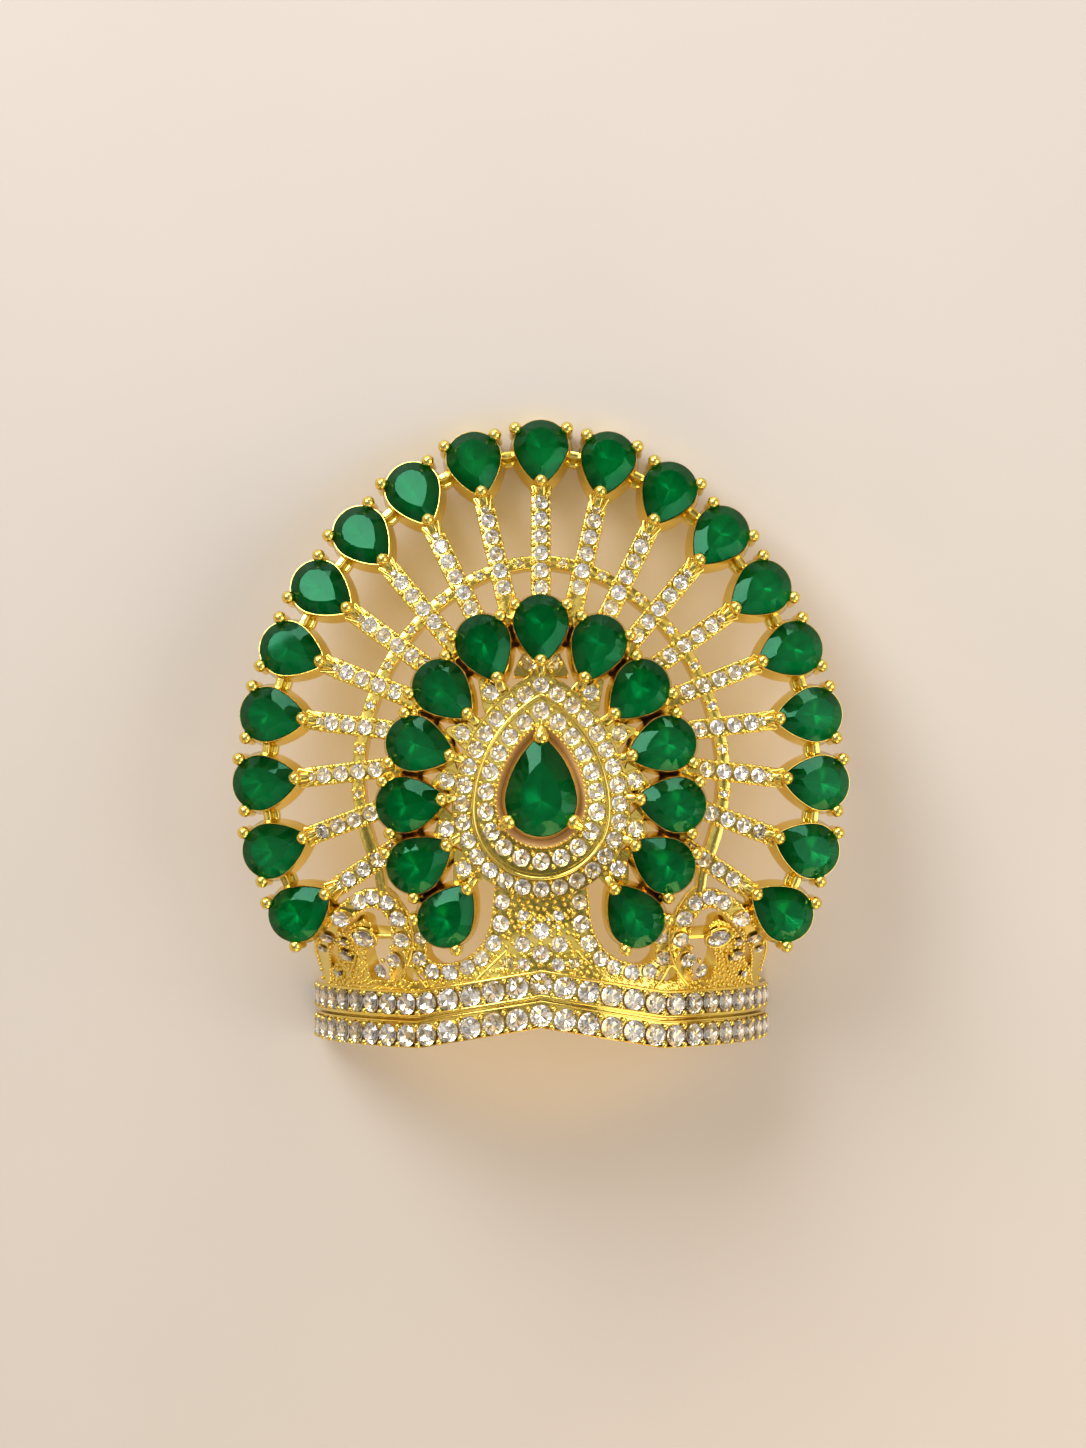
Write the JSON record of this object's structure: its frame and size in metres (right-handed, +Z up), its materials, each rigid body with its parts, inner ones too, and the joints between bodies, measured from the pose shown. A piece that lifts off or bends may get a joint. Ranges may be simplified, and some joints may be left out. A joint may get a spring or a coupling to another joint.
{
  "type": "deity crown",
  "caption": "Openwork crown for a small idol: a fan of pear-cut stones and pavé spokes round a pear medallion, on a half-ring band with two rows of stones, lying on its back.",
  "frame": {"origin": "centre of the bottom of the bounding box, on the surface that the crown lies on", "axes": "+Y towards the top of the crown, +X to its right seen from the front, +Z up, out of its front"},
  "size_m": [0.0578, 0.0606, 0.0206],
  "materials": {
    "gold": "bright polished gold plate",
    "green_stone": "polished facets"
  },
  "bodies": {
    "root": {"crown_frame": "gold", "centre_stone": "green_stone", "inner_stone_01": "green_stone", "inner_stone_02": "green_stone", "inner_stone_03": "green_stone", "inner_stone_04": "green_stone", "inner_stone_05": "green_stone", "inner_stone_06": "green_stone", "inner_stone_07": "green_stone", "inner_stone_08": "green_stone", "inner_stone_09": "green_stone", "inner_stone_10": "green_stone", "inner_stone_11": "green_stone", "inner_stone_12": "green_stone", "inner_stone_13": "green_stone", "outer_stone_01": "green_stone", "outer_stone_02": "green_stone", "outer_stone_03": "green_stone", "outer_stone_04": "green_stone", "outer_stone_05": "green_stone", "outer_stone_06": "green_stone", "outer_stone_07": "green_stone", "outer_stone_08": "green_stone", "outer_stone_09": "green_stone", "outer_stone_10": "green_stone", "outer_stone_11": "green_stone", "outer_stone_12": "green_stone", "outer_stone_13": "green_stone", "outer_stone_14": "green_stone", "outer_stone_15": "green_stone", "outer_stone_16": "green_stone", "outer_stone_17": "green_stone", "outer_stone_18": "green_stone", "outer_stone_19": "green_stone"}
  },
  "joints": []
}
